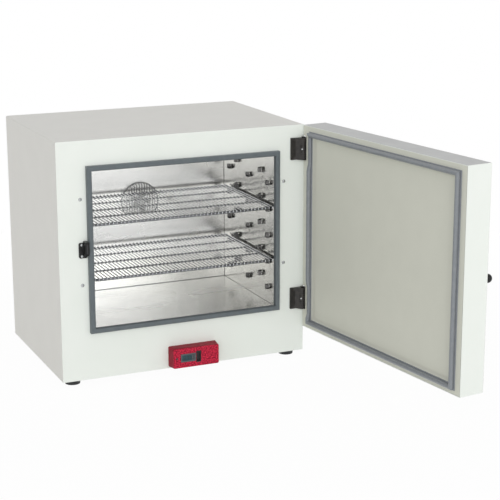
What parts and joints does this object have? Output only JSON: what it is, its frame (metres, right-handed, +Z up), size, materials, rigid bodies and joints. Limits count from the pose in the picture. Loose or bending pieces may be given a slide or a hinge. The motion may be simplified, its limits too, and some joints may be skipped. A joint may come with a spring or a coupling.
{
  "type": "laboratory oven",
  "caption": "Bench-top laboratory oven with a stainless chamber, wire shelves, a fan guard, a thick side-hung door and a red controller under the mouth.",
  "frame": {"origin": "bottom centre of the bounding box at rest, with the door standing open", "axes": "+X to the right seen from the front, +Y into the depth, +Z up; the open door points to -Y"},
  "size_m": [0.7418, 0.98, 0.544],
  "materials": {
    "white_paint": "white powder coat",
    "door_panel_paint": "light grey powder coat",
    "zinc_plate": "zinc-plated sheet",
    "stainless": "fine brushed",
    "chromed_wire": "polished",
    "bright_steel": "bright plated",
    "grey_silicone": "matt",
    "pale_silicone": "matt",
    "mineral_wool": "fibrous",
    "black_coated_steel": "black coating",
    "black_plastic": "moulded",
    "black_gloss": "polished",
    "red_plastic": "semi-gloss",
    "grey_plastic": "moulded",
    "key_plastic": "moulded",
    "display": "glossy",
    "lamp_lens": "glossy",
    "circuit_board": "resin board",
    "foot_rubber": "matt"
  },
  "bodies": {
    "oven": {"case_wrap": "white_paint", "front_frame": "white_paint", "base_pan": "zinc_plate", "bay_deck": "zinc_plate", "rear_panel": "white_paint", "foot_front_left": "foot_rubber", "foot_front_right": "foot_rubber", "foot_rear_left": "foot_rubber", "foot_rear_right": "foot_rubber", "liner_side_left": "stainless", "liner_side_right": "stainless", "liner_wrap": "stainless", "chamber_trim": "grey_silicone", "insulation_left": "mineral_wool", "insulation_right": "mineral_wool", "insulation_top": "mineral_wool", "insulation_bottom": "mineral_wool", "insulation_rear": "mineral_wool", "vent_duct": "stainless", "heater_element": "stainless", "heater_rails": "zinc_plate", "fan_guard": "chromed_wire", "fan_motor": "zinc_plate", "motor_bracket": "zinc_plate", "temperature_probe": "stainless", "frame_leaf_lower": "black_coated_steel", "frame_leaf_upper": "black_coated_steel", "hinge_pins": "black_coated_steel", "hinge_screws": "black_coated_steel", "catch_body": "black_plastic", "catch_magnet": "bright_steel", "controller_housing": "red_plastic", "display_bezel": "grey_plastic", "display_window": "display", "display_module": "black_plastic", "rocker_frame": "black_plastic", "indicator_lamp": "lamp_lens", "case_screws": "bright_steel", "board_posts": "grey_plastic", "power_board": "circuit_board", "solid_state_relay": "black_plastic", "safety_cutout": "zinc_plate", "power_inlet": "black_plastic", "inlet_pins": "bright_steel", "small_screws": "bright_steel"},
    "door": {"door_outer_skin": "white_paint", "door_inner_panel": "door_panel_paint", "door_insulation": "mineral_wool", "door_gasket": "pale_silicone", "door_knob": "black_gloss", "knob_screw": "bright_steel", "door_leaf_lower": "black_coated_steel", "door_leaf_upper": "black_coated_steel", "door_leaf_screws": "black_coated_steel"},
    "fan": {"fan_impeller": "stainless"},
    "upper_shelf": {"upper_shelf": "chromed_wire"},
    "lower_shelf": {"lower_shelf": "chromed_wire"},
    "rocker": {"power_rocker": "black_gloss"},
    "up_key": {"key_up": "key_plastic"},
    "down_key": {"key_down": "key_plastic"}
  },
  "joints": [
    {"name": "door_hinge", "type": "hinge", "parent": "oven", "child": "door", "pos_m": [0.20312, 0.07671, 0.3155], "axis": [0, 0, 1], "range_deg": [-97.15, 5]},
    {"name": "upper_shelf_slide", "type": "slide", "parent": "oven", "child": "upper_shelf", "axis": [0, -1, 0], "range_m": [0, 0.285]},
    {"name": "lower_shelf_slide", "type": "slide", "parent": "oven", "child": "lower_shelf", "axis": [0, -1, 0], "range_m": [0, 0.285]},
    {"name": "fan_spin", "type": "hinge", "parent": "oven", "child": "fan", "pos_m": [-0.08088, 0.37541, 0.3335], "axis": [0, 1, 0], "continuous": true},
    {"name": "rocker_tilt", "type": "hinge", "parent": "oven", "child": "rocker", "pos_m": [-0.06268, 0.06351, 0.04035], "axis": [1, 0, 0], "range_deg": [0, 16]},
    {"name": "up_key_press", "type": "slide", "parent": "oven", "child": "up_key", "axis": [0, 1, 0], "range_m": [0, 0.0008], "stiffness_N_per_m": 600},
    {"name": "down_key_press", "type": "slide", "parent": "oven", "child": "down_key", "axis": [0, 1, 0], "range_m": [0, 0.0008], "stiffness_N_per_m": 600}
  ]
}
